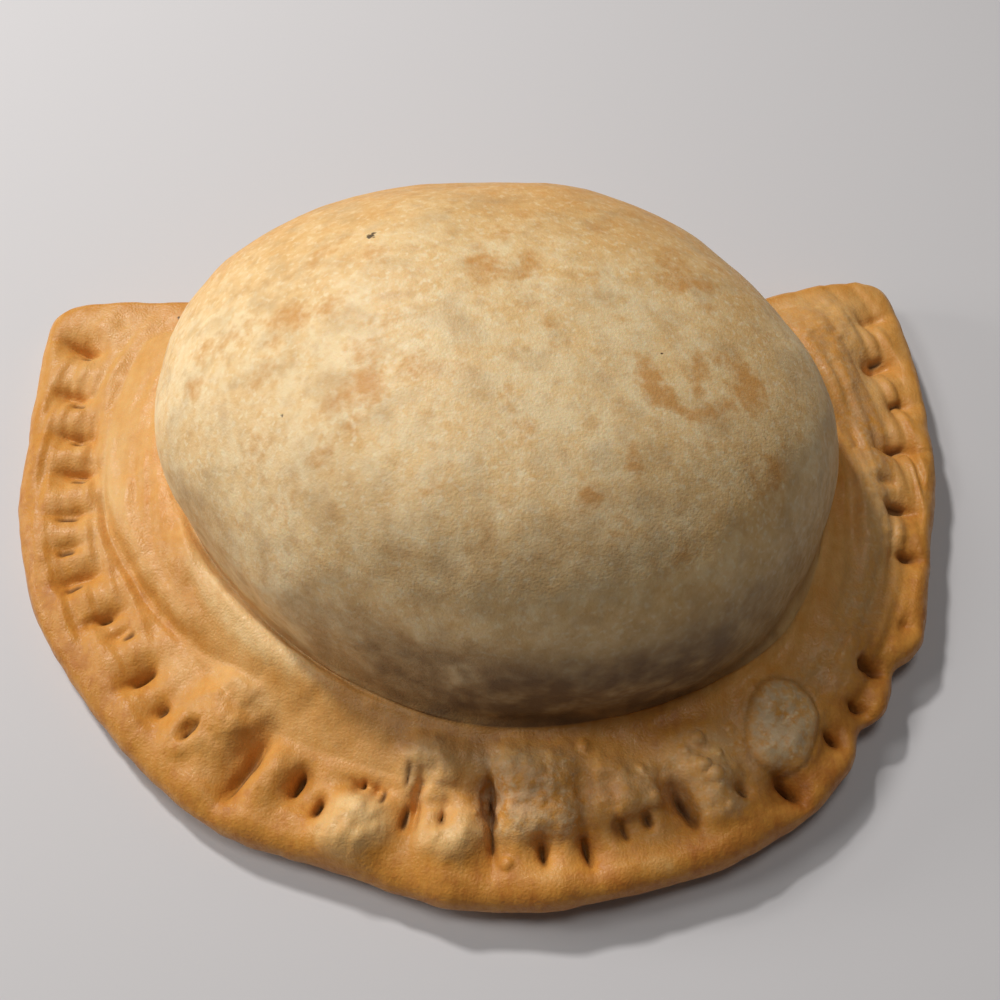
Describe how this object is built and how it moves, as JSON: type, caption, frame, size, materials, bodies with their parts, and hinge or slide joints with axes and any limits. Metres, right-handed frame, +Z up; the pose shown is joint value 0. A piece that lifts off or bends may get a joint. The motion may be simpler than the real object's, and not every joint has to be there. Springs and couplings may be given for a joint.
{
  "type": "cheese calzone",
  "caption": "Folded half-moon of baked dough with a tall puffed dome over its filling, a straight fold at the back and a flat rim sealed with fork prints round the front.",
  "frame": {"origin": "middle of the footprint's bounding box, at the height of the surface it rests on", "axes": "+X along the straight fold, to the right when the fork-sealed edge faces the viewer; +Y towards the fold, away from the viewer; +Z up"},
  "size_m": [0.1998, 0.1484, 0.0667],
  "materials": {
    "crust": "baked dough: pale cream dome with light brown patches, orange-brown rim, a faint oily sheen"
  },
  "bodies": {
    "root": {"calzone": "crust"}
  },
  "joints": []
}
